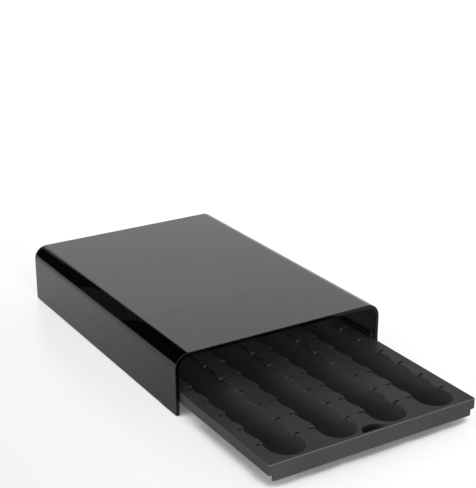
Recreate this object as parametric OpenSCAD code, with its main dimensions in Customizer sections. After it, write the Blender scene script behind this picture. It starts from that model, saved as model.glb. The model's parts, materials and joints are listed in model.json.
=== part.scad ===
/* [Pods] */
// Radius of a pod's rim
rim_r = 30; // [26:0.5:34]
// Radius of the opening that a pod's dome lies in, at the deck
bay_r = 22; // [18:0.5:24]
// How far the rim stands out of the dome bay before the half-round front begins
bay_straight = 14.5; // [10:0.5:18]
// Height of a lying pod's axis above the deck
axis_over_deck = 10.8; // [8:0.2:14]
// Width of the cross slot that takes a rim
rim_slot_w = 3.6; // [2.8:0.1:4.5]
// Half the width of the passage that joins the bays of one column
passage_half = 19; // [16:0.5:20]

/* [Tray] */
// Rows of pods, front to back
rows = 10; // [4:1:12]
// Columns of pods, side by side
columns = 4; // [2:1:5]
// Distance from one row to the next
row_pitch = 38; // [37:0.5:44]
// Distance from one column to the next
column_pitch = 67.8; // [64:0.2:76]
// Deck left between the front bays and the front edge
front_lip = 5.3; // [4.5:0.1:12]
// Deck left between the last rim slot and the rear edge
rear_lip = 12; // [8:0.5:20]
// Deck left between the outer slots and the tray's side
side_lip = 10.2; // [8.5:0.1:16]
// Thickness of the deck plate
deck_t = 2.8; // [2:0.1:4]
// Thickness of the tray's side flanges, front apron and rear wall
skirt_t = 3; // [2:0.1:4]
// Height of the side flanges
flange_h = 13; // [9:0.1:14]
// Thickness of the gutters under the deck
gutter_t = 1.5; // [1.2:0.1:2.4]
// Radius of the tray's upright corners
tray_corner_r = 2; // [1:0.5:4]
// Width of the finger notch behind the apron
notch_w = 37; // [28:1:40]
// Depth of the finger notch, from the front edge
notch_depth = 13; // [10:0.5:13]
// Thickness of the finger cup's wall
cup_t = 1.5; // [1.2:0.1:2.5]

/* [Cover] */
// Thickness of the acrylic sheet
sheet_t = 5; // [3:0.5:6]
// Outer radius of the two bent corners
bend_r = 18; // [10:1:24]
// Bevel on the sheet's polished edges
edge_bevel = 0.6; // [0.3:0.1:1]
// Air between the pods' rims and the top sheet
head_clear = 2.5; // [1:0.5:10]
// Distance from the cover's rear edge to the back panel
panel_inset = 2; // [1:0.5:6]

/* [Runners] */
// Height of the upper guide strips
guide_h = 6.4; // [4:0.2:9]
// Width of the ledges and guides
runner_w = 5.4; // [4.5:0.1:6]
// Distance from the open front to the ledges
ledge_setback = 14; // [8:1:24]
// Distance from the open front to the guides
guide_setback = 3; // [1:1:12]
// Radius of the stop pins
stop_pin_r = 2; // [1.5:0.25:2.5]
// Length of the stop pins
stop_pin_len = 14; // [12:0.5:16]
// Travel of the tray from closed to its stop pins
full_travel = 300; // [240:5:310]

/* [Feet and bumpers] */
// How far the feet lift the cover
foot_h = 1; // [0.6:0.1:4]
// Length of a foot
foot_len = 26; // [16:1:40]
// Distance from the feet to the cover's front and rear edges
foot_setback = 16; // [15:1:40]
// Free length of a bumper
bumper_len = 7.2; // [4:0.2:12]
// Radius of a bumper
bumper_r = 6; // [4:0.5:6]
// Rounding of a bumper's nose
nose_r = 2; // [1:0.5:3]
// Distance from the tray's side to the middle of a bumper
bumper_setback = 35; // [18:1:50]

/* [Fits] */
// Gap between the tray and each side wall
side_clear = 0.7; // [0.4:0.1:1.5]
// Gap between the tray's flange and the ledge or guide
runner_clear = 0.2; // [0.1:0.05:0.5]
// Extra gap above the flange, so the tray slides without binding
top_clear = 0.7; // [0.4:0.1:1.5]
// Gap between the closed tray and the bumpers
bumper_clear = 0.3; // [0.2:0.1:1]
// Gap between the fully open tray and the stop pins
stop_clear = 0.2; // [0.1:0.1:1]
// Gap between a rim and the gutter or the ends of its slot
rim_clear = 0.2; // [0.1:0.1:1]
// Height of the gutters above the table
ground_clear = 8.6; // [6:0.2:12]

/* [Pose] */
// How far the tray is drawn out
drawn_out = 187.5; // [150:0.5:200]

/* [Hidden] */
$fn = 96;

// Heights, from the table up
gutter_r = rim_r + rim_clear;
axis_z = ground_clear + gutter_t + gutter_r;
deck_z = axis_z - axis_over_deck;
flange_z = deck_z - flange_h;
cover_h = axis_z + rim_r + head_clear + sheet_t;

// The tray in plan, from its own front face
slot_half = sqrt(pow(gutter_r + rim_clear, 2) - pow(axis_over_deck, 2));
first_slot_y = front_lip + bay_r + bay_straight;
last_slot_y = first_slot_y + (rows - 1) * row_pitch;
tray_len = last_slot_y + rear_lip;
tray_half = (columns - 1) * column_pitch / 2 + slot_half + side_lip;
passage_front_y = first_slot_y - bay_straight;

// The cover in plan, from its own front edge
inner_half = tray_half + side_clear;
cover_half = inner_half + sheet_t;
panel_y = tray_len + bumper_clear + bumper_len;
cover_d = panel_y + sheet_t + panel_inset;
bend_inner_r = bend_r - sheet_t;
runner_half = inner_half - runner_w;
apron_half = runner_half - side_clear;

// The whole part is centred, front to back, with the tray drawn out
cover_y = (drawn_out - cover_d) / 2;
tray_y = cover_y - drawn_out;

// Runners, stops, bumpers and feet
ledge_top_z = flange_z - runner_clear;
guide_z = deck_z + runner_clear + top_clear;
stop_z = (ground_clear + ledge_top_z) / 2;
stop_y = tray_len - skirt_t - full_travel - stop_clear - stop_pin_r;
bumper_x = tray_half - bumper_setback;
bumper_z = (deck_z + ground_clear) / 2;
foot_w = sheet_t + runner_w - 2 * edge_bevel;
foot_x = (cover_half + runner_half) / 2;

// The finger notch is an arc through its two ends and its deepest point
notch_r = (pow(notch_w / 2, 2) + pow(notch_depth, 2)) / (2 * notch_depth);
cup_floor_z = ground_clear + cup_t;

cut = 1;  // how far a cutting shape runs past the face that it cuts

// x of the middle of each column
function column_x(i) = (i - (columns - 1) / 2) * column_pitch;

// y of each rim slot
function slot_y(k) = first_slot_y + k * row_pitch;

// Lengthwise section of the sheet, with bevelled edges at the front and rear:
// thickness along x, depth along y
module sheet_section() {
    polygon([
        [0, edge_bevel], [edge_bevel, 0], [sheet_t - edge_bevel, 0], [sheet_t, edge_bevel],
        [sheet_t, cover_d - edge_bevel], [sheet_t - edge_bevel, cover_d],
        [edge_bevel, cover_d], [0, cover_d - edge_bevel]
    ]);
}

// Right side of the bent sheet: the wall and its rounded corner
module cover_side() {
    translate([inner_half, 0, foot_h])
        linear_extrude(cover_h - bend_r - foot_h) sheet_section();
    translate([cover_half - bend_r, 0, cover_h - bend_r])
        rotate([-90, 0, 0]) rotate([0, 0, -90])
            rotate_extrude(angle = 90)
                translate([bend_inner_r, 0]) sheet_section();
}

// Flat top of the bent sheet
module cover_top() {
    flat_half = cover_half - bend_r;
    translate([-flat_half, 0, cover_h])
        rotate([0, 90, 0]) linear_extrude(2 * flat_half) sheet_section();
}

module cover_shell() {
    color("#3c3c40", 0.6)
        translate([0, cover_y, 0]) {
            cover_top();
            cover_side();
            mirror([1, 0, 0]) cover_side();
        }
}

// Outline of the back panel, which fills the cover's inside from the wall's foot to the top sheet
module panel_outline() {
    panel_h = cover_h - sheet_t - foot_h;
    corner_x = inner_half - bend_inner_r;
    corner_y = panel_h - bend_inner_r;
    translate([-inner_half, 0]) square([2 * inner_half, corner_y]);
    translate([-corner_x, 0]) square([2 * corner_x, panel_h]);
    for (side = [-1, 1])
        translate([side * corner_x, corner_y]) circle(bend_inner_r);
}

module back_panel() {
    color("#38383c", 0.6)
        translate([0, cover_y + panel_y + sheet_t, foot_h])
            rotate([90, 0, 0]) linear_extrude(sheet_t) panel_outline();
}

// Lower runner on the right wall, bored for its stop pin
module ledge() {
    difference() {
        translate([runner_half, cover_y + ledge_setback, foot_h])
            cube([runner_w, panel_y - ledge_setback, ledge_top_z - foot_h]);
        stop_bore();
    }
}

module stop_bore() {
    translate([inner_half - stop_pin_len - cut, cover_y + stop_y, stop_z])
        rotate([0, 90, 0]) cylinder(h = stop_pin_len + 2 * cut, r = stop_pin_r);
}

module left_ledge() {
    color("#1c1c1e") mirror([1, 0, 0]) ledge();
}

module right_ledge() {
    color("#1c1c1e") ledge();
}

// Upper guide on the right wall
module guide() {
    translate([runner_half, cover_y + guide_setback, guide_z])
        cube([runner_w, panel_y - guide_setback, guide_h]);
}

module left_guide() {
    color("#1c1c1e") mirror([1, 0, 0]) guide();
}

module right_guide() {
    color("#1c1c1e") guide();
}

// Pin that stands out of the right ledge, under the tray's flange
module stop_pin() {
    translate([inner_half - stop_pin_len, cover_y + stop_y, stop_z])
        rotate([0, 90, 0]) cylinder(h = stop_pin_len, r = stop_pin_r);
}

module left_stop_pin() {
    color("#2c2c2f") mirror([1, 0, 0]) stop_pin();
}

module right_stop_pin() {
    color("#2c2c2f") stop_pin();
}

// Round buffer on the right of the back panel, with a domed nose
module bumper() {
    translate([bumper_x, cover_y + panel_y, bumper_z])
        rotate([90, 0, 0]) rotate_extrude() bumper_profile();
}

module bumper_profile() {
    square([bumper_r, bumper_len - nose_r]);
    square([bumper_r - nose_r, bumper_len]);
    translate([bumper_r - nose_r, bumper_len - nose_r]) circle(nose_r);
}

module left_bumper() {
    color("#141414") mirror([1, 0, 0]) bumper();
}

module right_bumper() {
    color("#141414") bumper();
}

// Foot strip under the right wall and ledge, with round ends; y is its middle
module foot(y) {
    end_r = foot_w / 2;
    translate([foot_x, y, 0]) linear_extrude(foot_h) {
        for (end = [-1, 1])
            translate([0, end * (foot_len / 2 - end_r)]) circle(end_r);
        square([foot_w, foot_len - 2 * end_r], center = true);
    }
}

front_foot_y = cover_y + foot_setback + foot_len / 2;
rear_foot_y = cover_y + cover_d - foot_setback - foot_len / 2;

module front_left_foot() {
    color("#101010") mirror([1, 0, 0]) foot(front_foot_y);
}

module front_right_foot() {
    color("#101010") foot(front_foot_y);
}

module rear_left_foot() {
    color("#101010") mirror([1, 0, 0]) foot(rear_foot_y);
}

module rear_right_foot() {
    color("#101010") foot(rear_foot_y);
}

// Opening of one column of pods: rim slots, dome bays and the passage that joins them
module column_opening() {
    for (k = [0 : rows - 1])
        translate([0, slot_y(k)]) pod_opening();
    translate([-passage_half, passage_front_y])
        square([2 * passage_half, last_slot_y - passage_front_y]);
}

// Opening of one pod, from the middle of its rim slot: the slot, then a bay with a half-round front
module pod_opening() {
    translate([-slot_half, -rim_slot_w / 2]) square([2 * slot_half, rim_slot_w]);
    translate([-bay_r, -bay_straight]) square([2 * bay_r, bay_straight]);
    intersection() {
        translate([0, -bay_straight]) circle(bay_r);
        translate([-bay_r, -bay_straight - bay_r]) square([2 * bay_r, bay_r]);
    }
}

// Rounded rectangle from the tray's front face back
module tray_outline(half, length) {
    r = tray_corner_r;
    translate([-half + r, 0]) square([2 * (half - r), length]);
    translate([-half, r]) square([2 * half, length - 2 * r]);
    for (side = [-1, 1], y = [r, length - r])
        translate([side * (half - r), y]) circle(r);
}

// Half-round bar along y, below the deck plate, about a column's pod axis
module gutter_bar(r, y0, y1) {
    under_deck = axis_over_deck + deck_t;
    translate([0, y1, axis_z]) rotate([90, 0, 0])
        linear_extrude(y1 - y0)
            intersection() {
                circle(r);
                translate([-r, -r]) square([2 * r, r - under_deck]);
            }
}

// Side flanges, front apron and rear wall: the deck's outline with a narrower lower part
module tray_skirt() {
    difference() {
        union() {
            translate([0, 0, flange_z])
                linear_extrude(flange_h) tray_outline(tray_half, tray_len);
            translate([0, 0, ground_clear])
                linear_extrude(flange_h) tray_outline(apron_half, tray_len);
        }
        translate([-tray_half + skirt_t, skirt_t, 0])
            cube([2 * (tray_half - skirt_t), tray_len - 2 * skirt_t, deck_z - deck_t]);
        translate([-tray_half - cut, skirt_t, 0])
            cube([2 * (tray_half + cut), tray_len - 2 * skirt_t, flange_z]);
    }
}

// Half-round finger cup behind the apron, as a solid of radius r from z up
module notch_cylinder(r, z, top) {
    translate([0, notch_depth - notch_r, z]) cylinder(h = top - z, r = r);
}

module finger_cup() {
    intersection() {
        notch_cylinder(notch_r + cup_t, ground_clear, deck_z);
        translate([-tray_half, 0, 0]) cube([2 * tray_half, notch_depth + cup_t, deck_z]);
    }
}

module finger_hollow() {
    intersection() {
        notch_cylinder(notch_r, cup_floor_z, deck_z + cut);
        translate([-tray_half, skirt_t, 0])
            cube([2 * tray_half, notch_depth, deck_z + 2 * cut]);
    }
}

// Skirt and gutters, hollowed; the deck is still closed
module tray_body() {
    difference() {
        union() {
            tray_skirt();
            for (i = [0 : columns - 1])
                translate([column_x(i), 0, 0])
                    gutter_bar(gutter_r + gutter_t, 0, tray_len);
        }
        for (i = [0 : columns - 1])
            translate([column_x(i), 0, 0])
                gutter_bar(gutter_r, skirt_t, tray_len - skirt_t);
    }
}

module pod_tray() {
    color("#2b2b2d")
        translate([0, tray_y, 0])
            difference() {
                union() {
                    tray_body();
                    finger_cup();
                }
                for (i = [0 : columns - 1])
                    translate([column_x(i), 0, deck_z - deck_t - cut])
                        linear_extrude(deck_t + 2 * cut) column_opening();
                finger_hollow();
            }
}

cover_shell();
back_panel();
left_ledge();
right_ledge();
left_guide();
right_guide();
left_stop_pin();
right_stop_pin();
left_bumper();
right_bumper();
front_left_foot();
front_right_foot();
rear_left_foot();
rear_right_foot();
pod_tray();
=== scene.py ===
import json
import math

import bmesh
import bpy
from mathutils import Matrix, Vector


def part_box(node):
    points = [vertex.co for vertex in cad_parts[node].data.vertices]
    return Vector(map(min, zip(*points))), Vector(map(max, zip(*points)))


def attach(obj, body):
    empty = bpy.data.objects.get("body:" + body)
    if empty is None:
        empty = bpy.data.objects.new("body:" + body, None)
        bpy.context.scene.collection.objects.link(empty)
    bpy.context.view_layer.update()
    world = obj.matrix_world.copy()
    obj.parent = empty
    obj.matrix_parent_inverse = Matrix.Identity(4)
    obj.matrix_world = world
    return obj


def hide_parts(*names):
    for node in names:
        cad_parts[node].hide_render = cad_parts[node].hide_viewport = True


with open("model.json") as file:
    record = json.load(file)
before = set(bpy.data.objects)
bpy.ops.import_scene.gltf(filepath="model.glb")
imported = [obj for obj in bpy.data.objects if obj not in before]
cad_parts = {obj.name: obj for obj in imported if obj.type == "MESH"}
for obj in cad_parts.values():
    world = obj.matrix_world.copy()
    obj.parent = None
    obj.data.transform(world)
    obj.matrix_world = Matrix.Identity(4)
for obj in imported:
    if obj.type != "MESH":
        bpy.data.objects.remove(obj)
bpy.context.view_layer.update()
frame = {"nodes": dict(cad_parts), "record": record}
nodes = frame["nodes"]
scene = bpy.context.scene
scene.view_settings.view_transform = "Standard"
print("frame loaded:", len(nodes), "nodes")

cameraSet = {
    "place": (-0.72536, -1.18789, 0.67109),  # metres
    "tilt": 69.444,  # degrees up from straight down
    "turn": -31.637,  # degrees about the upright
    "lens": 88.0,  # mm
    "sensor": 36.0,  # mm
    "clip": (0.05, 50.0),  # metres, nearest and farthest
}


def addCamera():
    data = bpy.data.cameras.new("productCamera")
    data.lens = cameraSet["lens"]
    data.sensor_width = cameraSet["sensor"]
    data.clip_start, data.clip_end = cameraSet["clip"]
    cam = bpy.data.objects.new("productCamera", data)
    cam.location = cameraSet["place"]
    cam.rotation_euler = (math.radians(cameraSet["tilt"]), 0, math.radians(cameraSet["turn"]))
    scene.collection.objects.link(cam)
    scene.camera = cam


def makeObject(name, bm):
    mesh = bpy.data.meshes.new(name)
    bm.normal_update()
    bm.to_mesh(mesh)
    bm.free()
    obj = bpy.data.objects.new(name, mesh)
    scene.collection.objects.link(obj)
    return obj


def plug(tree, slot, value):
    # A number goes into the socket, and anything else is linked to it
    if isinstance(value, (int, float)):
        slot.default_value = value
    else:
        tree.links.new(value, slot)


def addMath(tree, operation, first, second):
    node = tree.nodes.new("ShaderNodeMath")
    node.operation = operation
    plug(tree, node.inputs[0], first)
    plug(tree, node.inputs[1], second)
    return node.outputs[0]


def addMix(tree, factor, first, second):
    mix = tree.nodes.new("ShaderNodeMix")
    mix.data_type = "FLOAT"
    plug(tree, mix.inputs["Factor"], factor)
    plug(tree, mix.inputs["A"], first)
    plug(tree, mix.inputs["B"], second)
    return mix.outputs["Result"]


def addStep(tree, value, edge, low=0.0, high=1.0):
    # low below the edge's first value, high above its second, soft between
    step = tree.nodes.new("ShaderNodeMapRange")
    step.interpolation_type = "SMOOTHSTEP"
    step.inputs["From Min"].default_value = edge[0]
    step.inputs["From Max"].default_value = edge[1]
    step.inputs["To Min"].default_value = low
    step.inputs["To Max"].default_value = high
    tree.links.new(value, step.inputs["Value"])
    return step.outputs[0]


def glossOrClear(tree, path):
    return addMath(tree, "MAXIMUM", path.outputs["Is Glossy Ray"], path.outputs["Is Transmission Ray"])


studioSet = {
    "lightLevel": 0.95,  # what the matt surfaces get from around
    "lightAbove": 0.26,  # and from above
    "lightRise": (0.30, 0.80),  # from the one to the other, as the upward part of the direction
    "backdropLevel": 1.0,  # what the camera, gloss and clear sheet show
    "cardLevel": 0.015,  # what gloss shows of the black card at the left, behind
    "cardWay": (-1.0, 0.0, 0.0),  # the card's edge stands square to this
    "cardEdge": (-0.09, 0.09),  # from no card to all card, along that way
    "cardBack": (-0.12, 0.10),  # the card fades out again towards the front
    "ceilingEdge": (0.45, 0.52),  # above the backdrop the studio is dark as well
    "ceilingFront": (-0.30, -0.05),  # but not in front, where a big soft light hangs
    "overheadEdge": (0.70, 0.98),  # up to a soft light overhead
    "overheadLevel": 0.45,
    "lampAim": (0.0, -0.05, 0.0),  # metres, as are the lamps' places and sizes
    "sideLamp": {"place": (-2.1, 0.1, 0.6), "size": 1.0, "power": 26.0},
    "frontLamp": {"place": (-0.4, -2.5, 0.34), "size": 0.6, "power": 50.0},
}


def addStudio():
    world = bpy.data.worlds.new("studio")
    world.use_nodes = True
    tree = world.node_tree
    back = tree.nodes["Background"]
    back.inputs["Color"].default_value = (1, 1, 1, 1)
    way = tree.nodes.new("ShaderNodeTexCoord").outputs["Generated"]
    across = tree.nodes.new("ShaderNodeVectorMath")
    across.operation = "DOT_PRODUCT"
    across.inputs[1].default_value = studioSet["cardWay"]
    tree.links.new(way, across.inputs[0])
    parts = tree.nodes.new("ShaderNodeSeparateXYZ")
    tree.links.new(way, parts.inputs[0])
    cardAcross = addStep(tree, across.outputs["Value"], studioSet["cardEdge"])
    card = addMath(tree, "MULTIPLY", cardAcross, addStep(tree, parts.outputs["Y"], studioSet["cardBack"]))
    ceilingHigh = addStep(tree, parts.outputs["Z"], studioSet["ceilingEdge"])
    ceilingBack = addStep(tree, parts.outputs["Y"], studioSet["ceilingFront"])
    dark = addMath(tree, "MAXIMUM", card, addMath(tree, "MULTIPLY", ceilingHigh, ceilingBack))
    overhead = addStep(tree, parts.outputs["Z"], studioSet["overheadEdge"])
    high = addMix(tree, overhead, studioSet["cardLevel"], studioSet["overheadLevel"])
    reflected = addMix(tree, dark, studioSet["backdropLevel"], high)
    around = addStep(
        tree, parts.outputs["Z"], studioSet["lightRise"], studioSet["lightLevel"], studioSet["lightAbove"]
    )
    path = tree.nodes.new("ShaderNodeLightPath")
    unseen = addMix(tree, glossOrClear(tree, path), around, reflected)
    level = addMix(tree, path.outputs["Is Camera Ray"], unseen, studioSet["backdropLevel"])
    tree.links.new(level, back.inputs["Strength"])
    scene.world = world


def addLamp(name):
    facts = studioSet[name]
    data = bpy.data.lights.new(name, "AREA")
    data.shape = "DISK"
    data.size = facts["size"]
    data.energy = facts["power"]
    lamp = bpy.data.objects.new(name, data)
    lamp.location = facts["place"]
    lamp.visible_glossy = False  # gloss shows the studio around it instead
    aim = Vector(studioSet["lampAim"]) - Vector(facts["place"])
    lamp.rotation_euler = aim.to_track_quat("-Z", "Y").to_euler()
    scene.collection.objects.link(lamp)


floorSet = {
    "size": 14.0,  # metres
    "cells": 4,
    "paleness": 0.76,  # what it sends back as light
    "seenPaleness": 0.54,  # the camera sees less of it, and the lift below instead
    "roughness": 0.26,  # of its sealed surface
    "gloss": 0.32,
    "liftAcross": (-0.75, 0.30),  # x, metres; the backdrop's light spills in from the right
    "lift": (0.37, 0.69),  # so that it is near white, left and right
    "hollowLift": 0.07,  # painted shadow: the lift in narrow gaps, such as under the tray
    "hollowReach": 0.040,  # metres that a gap is looked for
    "hollowSamples": 16,
    "hollowInFront": (0.36, 0.68),  # from closed in to open, beside the tray
    "hollowBeside": (0.10, 0.48),  # and beside the cover
    "frontAlong": (-0.16, -0.10),  # y, metres, from the one to the other
    "poolAlong": (-0.35, 0.45),  # gloss and clear sheet show the pool of light behind
    "pool": (0.40, 0.90),
    "poolLift": (0.09, 0.26),  # added to it
}


def addOpenness(tree, along):
    # 0 where the floor is closed in from above, 1 where it lies open; its low values mark the painted
    # shadow
    nearby = tree.nodes.new("ShaderNodeAmbientOcclusion")
    nearby.samples = floorSet["hollowSamples"]
    nearby.inputs["Distance"].default_value = floorSet["hollowReach"]
    beside = addStep(tree, nearby.outputs["AO"], floorSet["hollowBeside"])
    inFront = addStep(tree, nearby.outputs["AO"], floorSet["hollowInFront"])
    return addMix(tree, addStep(tree, along, floorSet["frontAlong"]), inFront, beside)


def addFloor():
    bm = bmesh.new()
    cells = floorSet["cells"]
    bmesh.ops.create_grid(bm, x_segments=cells, y_segments=cells, size=floorSet["size"] / 2)
    floor = makeObject("floor", bm)
    paint = bpy.data.materials.new("paleFloor")
    paint.use_nodes = True
    tree = paint.node_tree
    shader = tree.nodes["Principled BSDF"]
    shader.inputs["Roughness"].default_value = floorSet["roughness"]
    shader.inputs["Specular IOR Level"].default_value = floorSet["gloss"]
    shader.inputs["Emission Color"].default_value = (1, 1, 1, 1)
    parts = tree.nodes.new("ShaderNodeSeparateXYZ")
    tree.links.new(tree.nodes.new("ShaderNodeTexCoord").outputs["Object"], parts.inputs[0])
    path = tree.nodes.new("ShaderNodeLightPath")
    pool = addStep(tree, parts.outputs["Y"], floorSet["poolAlong"], *floorSet["pool"])
    unseen = addMix(tree, glossOrClear(tree, path), floorSet["paleness"], pool)
    pale = addMix(tree, path.outputs["Is Camera Ray"], unseen, floorSet["seenPaleness"])
    tree.links.new(pale, shader.inputs["Base Color"])
    spill = addStep(tree, parts.outputs["X"], floorSet["liftAcross"], *floorSet["lift"])
    # the lift is kept out of closed-in places, so the floor under the tray and beside the cover shows a
    # painted shadow
    lift = addMix(tree, addOpenness(tree, parts.outputs["Y"]), floorSet["hollowLift"], spill)
    seenLift = addMath(tree, "MULTIPLY", path.outputs["Is Camera Ray"], lift)
    mirrored = addStep(tree, parts.outputs["Y"], floorSet["poolAlong"], *floorSet["poolLift"])
    mirroredLift = addMath(tree, "MULTIPLY", glossOrClear(tree, path), mirrored)
    tree.links.new(addMath(tree, "ADD", seenLift, mirroredLift), shader.inputs["Emission Strength"])
    floor.data.materials.append(paint)


finishSet = {
    "cloudScale": 14.0,  # the broad unevenness of a moulded face
    "cloudDetail": 3.0,
    "noiseSpan": (0.3, 0.7),  # where most of a noise's values lie
    "wornSpan": (0.35, 0.7),  # from the plain colour to the worn one
    "grainDetail": 2.0,
    "grainStrength": 0.6,
}


def newMaterial(name):
    mat = bpy.data.materials.new(name)
    mat.use_nodes = True
    return mat, mat.node_tree, mat.node_tree.nodes["Principled BSDF"]


def edgeShare(tree, layerName):
    # How much of an edge a face is, as its mesh says
    share = tree.nodes.new("ShaderNodeAttribute")
    share.attribute_name = layerName
    return share.outputs["Fac"]


def addNoise(tree, scale, detail, stretch=(1, 1, 1)):
    coord = tree.nodes.new("ShaderNodeTexCoord")
    place = tree.nodes.new("ShaderNodeMapping")
    place.inputs["Scale"].default_value = stretch
    noise = tree.nodes.new("ShaderNodeTexNoise")
    noise.inputs["Scale"].default_value = scale
    noise.inputs["Detail"].default_value = detail
    tree.links.new(coord.outputs["Object"], place.inputs["Vector"])
    tree.links.new(place.outputs["Vector"], noise.inputs["Vector"])
    return noise


def noiseToRange(tree, noise, ends, socket):
    span = tree.nodes.new("ShaderNodeMapRange")
    span.inputs["From Min"].default_value = finishSet["noiseSpan"][0]
    span.inputs["From Max"].default_value = finishSet["noiseSpan"][1]
    span.inputs["To Min"].default_value = ends[0]
    span.inputs["To Max"].default_value = ends[1]
    tree.links.new(noise.outputs["Fac"], span.inputs["Value"])
    tree.links.new(span.outputs[0], socket)


def addGrain(tree, shader, scale, height, stretch):
    grain = addNoise(tree, scale, finishSet["grainDetail"], stretch)
    bump = tree.nodes.new("ShaderNodeBump")
    bump.inputs["Strength"].default_value = finishSet["grainStrength"]
    bump.inputs["Distance"].default_value = height
    tree.links.new(grain.outputs["Fac"], bump.inputs["Height"])
    tree.links.new(bump.outputs["Normal"], shader.inputs["Normal"])


def mouldedFinish(name, facts):
    mat, tree, shader = newMaterial(name)
    shader.inputs["Metallic"].default_value = facts.get("metallic", 0.0)
    shader.inputs["Specular IOR Level"].default_value = facts["gloss"]
    cloud = addNoise(tree, finishSet["cloudScale"], finishSet["cloudDetail"])
    noiseToRange(tree, cloud, facts["roughness"], shader.inputs["Roughness"])
    ramp = tree.nodes.new("ShaderNodeValToRGB")
    ends = zip(ramp.color_ramp.elements, finishSet["wornSpan"], (facts["color"], facts["colorWorn"]))
    for end, position, color in ends:
        end.position = position
        end.color = color
    tree.links.new(cloud.outputs["Fac"], ramp.inputs["Fac"])
    # Rounded edge faces take the edge colour: on the tray it is a painted highlight; pieces without an
    # edge colour take their worn colour there.
    tone = tree.nodes.new("ShaderNodeMix")
    tone.data_type = "RGBA"
    tone.inputs["B"].default_value = facts.get("edgeColor", facts["colorWorn"])
    tree.links.new(edgeShare(tree, "roundedEdge"), tone.inputs["Factor"])
    tree.links.new(ramp.outputs["Color"], tone.inputs["A"])
    tree.links.new(tone.outputs["Result"], shader.inputs["Base Color"])
    addGrain(tree, shader, facts["grainScale"], facts["grainHeight"], facts.get("stretch", (1, 1, 1)))
    return mat


def dress(piece, body, material, replaced):
    even = piece.modifiers.new("evenShading", "WEIGHTED_NORMAL")  # big flat faces stay flat to the light
    even.mode = "FACE_AREA"
    even.keep_sharp = True
    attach(piece, body)
    piece.data.materials.clear()
    piece.data.materials.append(material)
    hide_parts(replaced)


meshSet = {
    "merge": 1e-6,  # metres; corners nearer than this are one
    "flat": 0.4,  # degrees; faces that turn less than this are one
    "sharp": 32.0,  # edges that turn more are rounded
    "smooth": 30.0,  # edges that turn less are shaded smooth
    "facesFront": -0.2,  # up to this y part of its direction a rounded face looks to the front, and gets the front share of painted highlight
}


def smoothFaces(bm, sharpOver=meshSet["smooth"]):
    for face in bm.faces:
        face.smooth = True
    for edge in bm.edges:
        edge.smooth = edge.calc_face_angle(0.0) < math.radians(sharpOver)


def roundEdges(bm, edges, radius, steps, clamp=True):
    return bmesh.ops.bevel(
        bm,
        geom=edges,
        offset=radius,
        offset_type="OFFSET",
        segments=steps,
        profile=0.5,
        affect="EDGES",
        clamp_overlap=clamp,
        material=-1,
    )["faces"]


def combined(bm, operation, tool):
    # The mesh with the tool's shape added or taken away; the tool is used up
    blank = makeObject("blank", bm)
    joint = blank.modifiers.new("joint", "BOOLEAN")
    joint.operation = operation
    joint.solver = "EXACT"
    joint.object = tool
    result = bmesh.new()
    result.from_object(blank, bpy.context.evaluated_depsgraph_get())
    for spent in (blank, tool):
        bpy.data.objects.remove(spent)
    bmesh.ops.remove_doubles(result, verts=result.verts, dist=meshSet["merge"])
    return result


def roundedCopy(nodeName, pieceName, rounds, changes=()):
    # The imported solid with its sharp outer edges rounded, as moulding and polishing leave them.
    # A step's two highlight shares say how much of the edge colour, a painted highlight, its rounded
    # faces show, in front and beside.
    bm = bmesh.new()
    bm.from_mesh(nodes[nodeName].data)
    bmesh.ops.remove_doubles(bm, verts=bm.verts, dist=meshSet["merge"])
    for operation, tool in changes:
        bm = combined(bm, operation, tool)
    onEdge = bm.faces.layers.float.new("roundedEdge")
    flat = math.radians(meshSet["flat"])
    bmesh.ops.dissolve_limit(bm, angle_limit=flat, verts=bm.verts, edges=bm.edges, delimit={"SHARP"})
    for step in rounds:
        bm.normal_update()
        wanted = step.get("wanted", lambda edge: True)
        sharp = [
            edge
            for edge in bm.edges
            if len(edge.link_faces) == 2
            and edge.is_convex
            and edge.calc_face_angle(0.0) > math.radians(meshSet["sharp"])
            and wanted(edge)
        ]
        rounded = roundEdges(bm, sharp, step["radius"], step["steps"], step.get("clamp", True))
        bm.normal_update()
        for face in rounded:
            # faces looking to the front take the front share of the painted highlight
            side = "wear" if face.normal.y < meshSet["facesFront"] else "wearBeside"
            face[onEdge] = step.get(side, 1.0)
    smoothFaces(bm)
    return makeObject(pieceName, bm)


addCamera()
addStudio()
addLamp("sideLamp")
addLamp("frontLamp")
addFloor()
print("camera, floor and light ready")

coverSet = {
    "passes": 0.022,  # share of light that comes through the sheet
    "edgePasses": 0.001,  # and at its polished edges, where the smoke lies deep
    "roughness": (0.016, 0.040),
    "ior": 1.49,
    "hazeScale": 90.0,
    "hazeDetail": 4.0,
    "sheet": 0.005,  # metres, as are the next two
    "bend": 0.018,
    "edgeRound": 0.0006,
    "edgeZone": 1.2,  # times the rounding; faces this near the sheet's ends are its polished edge
    "bendSteps": 24,
    "edgeSteps": 3,
    "smooth": 40.0,  # degrees
    "panelRound": {"radius": 0.0004, "steps": 2},
}


def acrylicFinish():
    mat, tree, shader = newMaterial("smokedAcrylic")
    tint = addMix(tree, edgeShare(tree, "sheetEdge"), coverSet["passes"], coverSet["edgePasses"])
    tree.links.new(tint, shader.inputs["Base Color"])
    shader.inputs["Transmission Weight"].default_value = 1.0
    shader.inputs["IOR"].default_value = coverSet["ior"]
    haze = addNoise(tree, coverSet["hazeScale"], coverSet["hazeDetail"])
    noiseToRange(tree, haze, coverSet["roughness"], shader.inputs["Roughness"])
    return mat


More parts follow.
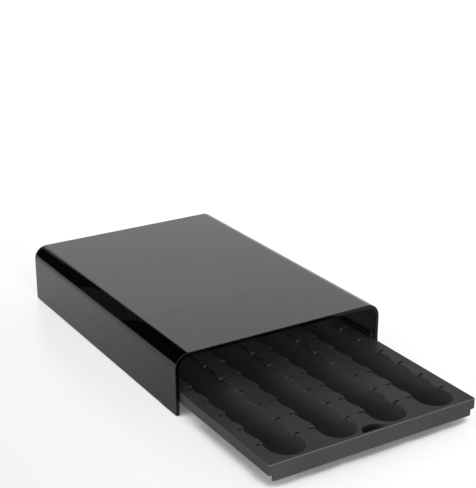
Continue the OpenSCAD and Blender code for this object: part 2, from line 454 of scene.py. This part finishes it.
def bentSkin(bm, low, high, bend):
    # One side of the sheet: up a wall, over the top and down again, drawn back along y
    path = [(low.x, low.z), (low.x, high.z), (high.x, high.z), (high.x, low.z)]
    verts = [bm.verts.new((x, low.y, z)) for x, z in path]
    edges = [bm.edges.new(pair) for pair in zip(verts, verts[1:])]
    drawn = bmesh.ops.extrude_edge_only(bm, edges=edges)["geom"]
    back = [v for v in drawn if isinstance(v, bmesh.types.BMVert)]
    bmesh.ops.translate(bm, verts=back, vec=(0, high.y - low.y, 0))
    corners = [
        edge
        for v in verts[1:3]
        for edge in v.link_edges
        if abs(edge.verts[0].co.y - edge.verts[1].co.y) > (high.y - low.y) / 2
    ]
    roundEdges(bm, corners, bend, coverSet["bendSteps"], clamp=False)


def makeCoverSheet():
    low, high = (Vector(corner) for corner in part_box("cover_shell"))
    sheet = coverSet["sheet"]
    bm = bmesh.new()
    bentSkin(bm, low, high, coverSet["bend"])
    insideLow = low + Vector((sheet, 0, 0))
    insideHigh = high - Vector((sheet, 0, sheet))
    bentSkin(bm, insideLow, insideHigh, coverSet["bend"] - sheet)
    rims = [edge for edge in bm.edges if edge.is_boundary]
    skins = set(bm.faces)
    bmesh.ops.bridge_loops(bm, edges=rims)
    bmesh.ops.recalc_face_normals(bm, faces=bm.faces)
    edges = [edge for edge in bm.edges if len(set(edge.link_faces) & skins) == 1]
    roundEdges(bm, edges, coverSet["edgeRound"], coverSet["edgeSteps"])
    bm.normal_update()
    onEdge = bm.faces.layers.float.new("sheetEdge")
    zone = coverSet["edgeRound"] * coverSet["edgeZone"]
    for face in bm.faces:
        middle = face.calc_center_median()
        toEnd = min(middle.y - low.y, high.y - middle.y, middle.z - low.z)
        face[onEdge] = 1.0 if toEnd < zone else 0.0
    smoothFaces(bm, coverSet["smooth"])
    return makeObject("coverSheet", bm)


acrylic = acrylicFinish()
coverSheet = makeCoverSheet()
dress(coverSheet, "cover", acrylic, "cover_shell")
backPanel = roundedCopy("back_panel", "backPanel", [coverSet["panelRound"]])
dress(backPanel, "cover", acrylic, "back_panel")
print("cover ready:", len(coverSheet.data.polygons), "faces")

traySet = {
    "color": (0.039, 0.039, 0.040, 1),
    "colorWorn": (0.047, 0.047, 0.048, 1),
    # painted highlight: the tray's rounded edges are lighter, as if they caught the light
    "edgeColor": (0.098, 0.098, 0.100, 1),
    "gloss": 0.12,
    "roughness": (0.36, 0.46),
    "grainScale": 2600.0,
    "grainHeight": 0.00003,
    # the last two numbers of each: the share of painted highlight on its rounded faces, in front and
    # beside
    "outline": {"radius": 0.0009, "steps": 3, "clamp": False, "wear": 1.0, "wearBeside": 0.25},
    "notch": {"radius": 0.0009, "steps": 3, "wear": 1.0, "wearBeside": 0.6},
    "rims": {"radius": 0.0005, "steps": 2, "wear": 0.3, "wearBeside": 0.3},
    "outlineWidth": 0.0021,  # metres, as are the sizes below; edges this near a side are the outline
    "levelWith": 1e-5,  # edges this near the deck's height are its rims
    "notchHalfWidth": 0.0165,  # of the finger notch, at the back of the apron
    "notchDepth": 0.0184,  # from the front, as is the next one
    "notchNear": 0.003,  # the back of the apron
    "notchWall": 0.0015,
    "notchRimReach": 0.0005,  # its rim is looked for this much further out
    "notchSteps": 80,
    "packedHalfWidth": 0.0185,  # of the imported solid's notch, at the front
    "packedDepth": 0.013,
}

trayLow, trayHigh = (Vector(corner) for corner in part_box("pod_tray"))


def onOutline(vert):
    x, y = vert.co.x, vert.co.y
    return min(x - trayLow.x, trayHigh.x - x, y - trayLow.y, trayHigh.y - y) < traySet["outlineWidth"]


def outlineEdge(edge):
    return all(onOutline(vert) for vert in edge.verts)


def deckRim(edge):
    return all(
        trayHigh.z - vert.co.z < traySet["levelWith"] and not onOutline(vert) for vert in edge.verts
    )


def notchRim(edge):
    halfWidth = traySet["notchHalfWidth"] + traySet["notchRimReach"]
    depth = traySet["notchDepth"] + traySet["notchRimReach"]
    return deckRim(edge) and all(
        abs(vert.co.x) < halfWidth and vert.co.y - trayLow.y < depth for vert in edge.verts
    )


def arcThrough(halfWidth, near, far):
    # Radius and middle of the arc that is this wide at near and reaches far
    radius = (halfWidth**2 + (far - near) ** 2) / (2 * (far - near))
    return radius, far - radius


def notchDrum(name, arc, extra, near, bottom, top):
    # An upright drum on the arc, without its part in front of near
    radius, middle = arc
    bm = bmesh.new()
    bmesh.ops.create_cone(
        bm,
        cap_ends=True,
        segments=traySet["notchSteps"],
        radius1=radius + extra,
        radius2=radius + extra,
        depth=top - bottom,
    )
    bmesh.ops.translate(bm, verts=bm.verts, vec=(0, trayLow.y + middle, (top + bottom) / 2))
    everything = bm.verts[:] + bm.edges[:] + bm.faces[:]
    front = (0, trayLow.y + near, 0)
    bmesh.ops.bisect_plane(bm, geom=everything, plane_co=front, plane_no=(0, 1, 0), clear_inner=True)
    bmesh.ops.holes_fill(bm, edges=[edge for edge in bm.edges if edge.is_boundary])
    bmesh.ops.recalc_face_normals(bm, faces=bm.faces)
    return makeObject(name, bm)


def notchChanges():
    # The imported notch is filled, and a narrower, deeper cup with its hollow takes its place
    near, wall = traySet["notchNear"], traySet["notchWall"]
    packed = arcThrough(traySet["packedHalfWidth"], 0, traySet["packedDepth"])
    shown = arcThrough(traySet["notchHalfWidth"], near, traySet["notchDepth"])
    bottom, top = trayLow.z, trayHigh.z
    return [
        ("UNION", notchDrum("notchFill", packed, wall / 2, near / 2, bottom, top)),
        ("UNION", notchDrum("notchCup", shown, wall, near / 2, bottom, top)),
        ("DIFFERENCE", notchDrum("notchHollow", shown, 0, near, bottom + wall, top + wall)),
    ]


trayPlastic = mouldedFinish("trayPlastic", traySet)
trayRounds = [
    dict(traySet["outline"], wanted=outlineEdge),
    dict(traySet["notch"], wanted=notchRim),
    dict(traySet["rims"], wanted=deckRim),
]
tray = roundedCopy("pod_tray", "trayMoulding", trayRounds, notchChanges())
dress(tray, "tray", trayPlastic, "pod_tray")
print("tray ready:", len(tray.data.polygons), "faces")

runnerSet = {
    "color": (0.006, 0.006, 0.0065, 1),
    "colorWorn": (0.009, 0.009, 0.0095, 1),
    "gloss": 0.18,
    "roughness": (0.38, 0.52),
    "grainScale": 1800.0,
    "grainHeight": 0.00002,
    "rounding": {"radius": 0.0005, "steps": 2},
    "shortest": 0.004,  # metres; the rims of the pin bores are shorter edges, and stay sharp
}


def longEdge(edge):
    return edge.calc_length() > runnerSet["shortest"]


runnerPlastic = mouldedFinish("runnerPlastic", runnerSet)
runnerRounds = [dict(runnerSet["rounding"], wanted=longEdge)]
for side in ("left", "right"):
    for kind in ("ledge", "guide"):
        nodeName = side + "_" + kind
        strip = roundedCopy(nodeName, side + kind.capitalize(), runnerRounds)
        dress(strip, "cover", runnerPlastic, nodeName)
print("runners ready")

pinSet = {
    "color": (0.10, 0.10, 0.105, 1),
    "colorWorn": (0.13, 0.13, 0.135, 1),
    "metallic": 1.0,
    "gloss": 0.5,
    "roughness": (0.28, 0.42),
    "grainScale": 4200.0,
    "grainHeight": 0.00001,
    "stretch": (0.2, 1, 1),  # of the grain, along the pin
    "rounding": {"radius": 0.0004, "steps": 2},
}

pinSteel = mouldedFinish("blackenedSteel", pinSet)
for side in ("left", "right"):
    nodeName = side + "_stop_pin"
    pin = roundedCopy(nodeName, side + "StopPin", [pinSet["rounding"]])
    dress(pin, "cover", pinSteel, nodeName)
print("stop pins ready")

rubberSet = {
    "color": (0.016, 0.016, 0.016, 1),
    "colorWorn": (0.022, 0.022, 0.022, 1),
    "gloss": 0.3,
    "roughness": (0.75, 0.92),
    "grainScale": 3200.0,
    "grainHeight": 0.00006,
    "rounding": {"radius": 0.0003, "steps": 2},
}

rubber = mouldedFinish("blackRubber", rubberSet)
rubberNodes = [name for name in nodes if name.endswith(("foot", "bumper"))]
for nodeName in rubberNodes:
    words = nodeName.split("_")
    pieceName = words[0] + "".join(word.capitalize() for word in words[1:])
    piece = roundedCopy(nodeName, pieceName, [rubberSet["rounding"]])
    dress(piece, "cover", rubber, nodeName)
print("feet and bumpers ready:", len(rubberNodes))

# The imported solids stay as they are; those that a piece stands for aren't shown
slotFinish = {
    "smoked_acrylic": acrylic,
    "tray_plastic": trayPlastic,
    "runner_plastic": runnerPlastic,
    "pin_steel": pinSteel,
    "black_rubber": rubber,
}
for part in frame["record"]["subparts"]:
    solid = nodes[part["node"]]
    solid.data.materials.clear()
    solid.data.materials.append(slotFinish[part["material_slot"]])
print("solids finished")
